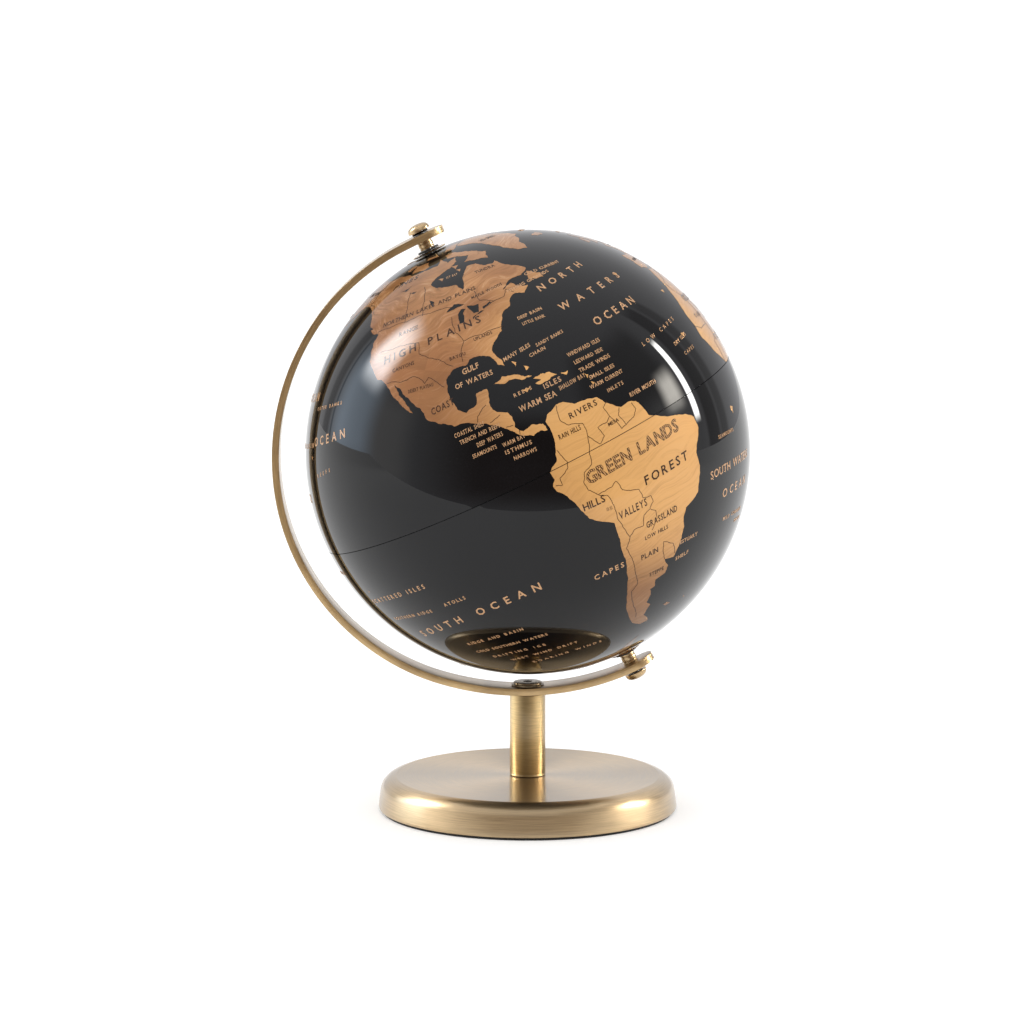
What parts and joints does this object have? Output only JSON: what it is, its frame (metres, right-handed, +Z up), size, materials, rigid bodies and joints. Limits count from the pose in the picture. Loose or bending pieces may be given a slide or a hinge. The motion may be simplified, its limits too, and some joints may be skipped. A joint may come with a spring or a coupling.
{
  "type": "desktop globe on stand",
  "caption": "Small world globe that turns on a tilted axis in a bent bar arm, on a tube post and a weighted round base.",
  "frame": {"origin": "centre of the underside of the base pad, on the post's axis", "axes": "+Z up along the post; the meridian arm lies in the XZ plane and bends round the ball on the -X side; the north pole leans towards -X; +X, -X and Y complete a right-handed frame"},
  "size_m": [0.2146, 0.2, 0.2668],
  "materials": {
    "base_brass": "circular brushed satin, antique brass",
    "post_brass": "brushed satin, antique brass",
    "arm_brass": "satin antique brass with browned edges",
    "pin_brass": "satin antique brass",
    "dark_screw": "darkened satin",
    "dark_washer": "blackened satin",
    "fastener_steel": "zinc plated",
    "cast_weight": "as cast",
    "base_pad": "matte foam",
    "ball_gloss": "high gloss clear coat over a printed map",
    "land_copper": "copper metallic print under high gloss",
    "print_copper": "copper printed lettering under high gloss",
    "print_dark": "dark brown printed lines and lettering under high gloss",
    "inner_plastic": "moulded",
    "black_nylon": "moulded"
  },
  "bodies": {
    "stand": {"base_pad": "base_pad", "base_shell": "base_brass", "base_weight": "cast_weight", "base_bolt": "fastener_steel", "base_bolt_washer": "fastener_steel", "post_tube": "post_brass", "post_lower_insert": "fastener_steel", "post_upper_insert": "fastener_steel", "meridian_arm": "arm_brass", "arm_screw": "dark_screw", "north_axle": "fastener_steel", "north_washer": "black_nylon", "north_spacer": "pin_brass", "north_head_washer": "dark_washer", "north_dome_nut": "pin_brass", "south_axle": "fastener_steel", "south_washer": "black_nylon", "south_spacer": "pin_brass", "south_head_washer": "dark_washer", "south_dome_nut": "pin_brass"},
    "ball": {"north_shell": "ball_gloss", "south_shell": "ball_gloss", "equator_ring": "inner_plastic", "north_bushing": "black_nylon", "south_bushing": "black_nylon", "north_pole_disc": "pin_brass", "south_pole_disc": "pin_brass"}
  },
  "joints": [
    {"name": "ball_spin", "type": "hinge", "parent": "stand", "child": "ball", "pos_m": [0, 0, 0.1637], "axis": [-0.4384, 0, 0.8988], "continuous": true}
  ]
}
